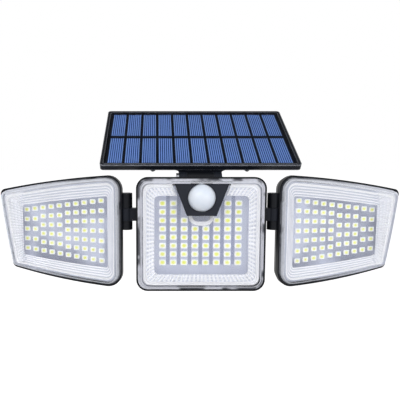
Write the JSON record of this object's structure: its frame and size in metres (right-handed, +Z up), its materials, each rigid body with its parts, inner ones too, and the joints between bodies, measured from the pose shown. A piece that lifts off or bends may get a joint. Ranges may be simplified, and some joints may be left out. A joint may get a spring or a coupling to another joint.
{
  "type": "motion sensor security light",
  "caption": "Solar wall light with a main lamp head, hinged side lamp heads, a motion sensor dome, a tilting solar panel and a battery housing on a wall plate.",
  "frame": {"origin": "on the wall face of the wall plate, level with the middle of the main lamp head", "axes": "+Z up; the light faces -Y and the wall is at y = 0; +X is to the right for someone who looks at its front"},
  "size_m": [0.3941, 0.1232, 0.1781],
  "materials": {
    "black_plastic": "moulded black weatherproof plastic with a fine satin texture",
    "panel_frame_plastic": "moulded black plastic, satin, with a worn light edge",
    "clear_cover": "clear polycarbonate, polished outside, with prism ribs inside",
    "seal_rubber": "soft silicone seal, matt",
    "screw_steel": "zinc plated steel",
    "led_board_white": "white coated circuit board",
    "led_package": "white package with yellow phosphor",
    "sensor_cover": "dark slate plastic, fine satin",
    "sensor_lens": "milky moulded plastic with faint facets",
    "spacer_plastic": "plain white nylon",
    "sensor_can": "pressed metal can",
    "green_board": "green circuit board",
    "electronic_parts": "moulded black component bodies",
    "holder_plastic": "black battery tray",
    "battery_sleeve": "metal can in a thin plain blue sleeve",
    "contact_metal": "nickel plated spring strip",
    "button_rubber": "soft black button cap",
    "solar_cell": "blue silicon with fine silver conductor lines",
    "panel_glass": "clear flat cover",
    "panel_backing": "near black laminate"
  },
  "bodies": {
    "wall_lamp": {"wall_plate": "black_plastic", "plate_lock_screws": "screw_steel", "battery_housing": "black_plastic", "housing_gasket": "seal_rubber", "housing_screws": "screw_steel", "battery_holder": "holder_plastic", "battery_cell": "battery_sleeve", "battery_contacts": "contact_metal", "control_board": "green_board", "board_components": "electronic_parts", "board_screws": "screw_steel", "mode_switch": "electronic_parts", "lamp_cable_gland": "black_plastic", "main_rear_shell": "black_plastic", "main_gasket": "seal_rubber", "main_lens_cover": "clear_cover", "main_lens_screws": "screw_steel", "main_led_board": "led_board_white", "main_leds": "led_package", "sensor_bezel": "sensor_cover", "sensor_dome": "sensor_lens", "sensor_board": "led_board_white", "sensor_spacers": "spacer_plastic", "pir_sensor": "sensor_can"},
    "mode_button": {"mode_button": "button_rubber"},
    "solar_panel": {"panel_frame": "panel_frame_plastic", "panel_window": "panel_glass", "panel_cells": "solar_cell", "panel_backing": "panel_backing", "panel_rear_cover": "black_plastic", "panel_screws": "screw_steel", "panel_bracket": "black_plastic", "bracket_screws": "screw_steel", "panel_hinge_bolt": "screw_steel", "panel_hinge_nut": "screw_steel", "panel_cable_gland": "black_plastic"},
    "left_neck": {"left_neck": "black_plastic", "left_neck_retainer": "screw_steel"},
    "left_head": {"left_rear_shell": "black_plastic", "left_gasket": "seal_rubber", "left_lens_cover": "clear_cover", "left_lens_screws": "screw_steel", "left_led_board": "led_board_white", "left_leds": "led_package", "left_hinge_screw": "screw_steel", "left_hinge_nut": "screw_steel"},
    "right_neck": {"right_neck": "black_plastic", "right_neck_retainer": "screw_steel"},
    "right_head": {"right_rear_shell": "black_plastic", "right_gasket": "seal_rubber", "right_lens_cover": "clear_cover", "right_lens_screws": "screw_steel", "right_led_board": "led_board_white", "right_leds": "led_package", "right_hinge_screw": "screw_steel", "right_hinge_nut": "screw_steel"}
  },
  "joints": [
    {"name": "panel_tilt", "type": "hinge", "parent": "wall_lamp", "child": "solar_panel", "pos_m": [0, -0.094, 0.0525], "axis": [1, 0, 0], "range_deg": [-10, 25]},
    {"name": "mode_button_press", "type": "slide", "parent": "wall_lamp", "child": "mode_button", "axis": [0, 0, 1], "range_m": [0, 0.0015], "stiffness_N_per_m": 400, "springref_m": -0.0005},
    {"name": "left_neck_twist", "type": "hinge", "parent": "wall_lamp", "child": "left_neck", "pos_m": [-0.06, -0.094, 0.0178], "axis": [1, 0, 0], "range_deg": [-30, 30]},
    {"name": "left_head_fold", "type": "hinge", "parent": "left_neck", "child": "left_head", "pos_m": [-0.0703, -0.094, 0.0207], "axis": [0, 0, -1], "range_deg": [-26, 18.5]},
    {"name": "right_neck_twist", "type": "hinge", "parent": "wall_lamp", "child": "right_neck", "pos_m": [0.06, -0.094, 0.0178], "axis": [1, 0, 0], "range_deg": [-30, 30]},
    {"name": "right_head_fold", "type": "hinge", "parent": "right_neck", "child": "right_head", "pos_m": [0.0703, -0.094, 0.0207], "axis": [0, 0, 1], "range_deg": [-24, 20.5]}
  ]
}
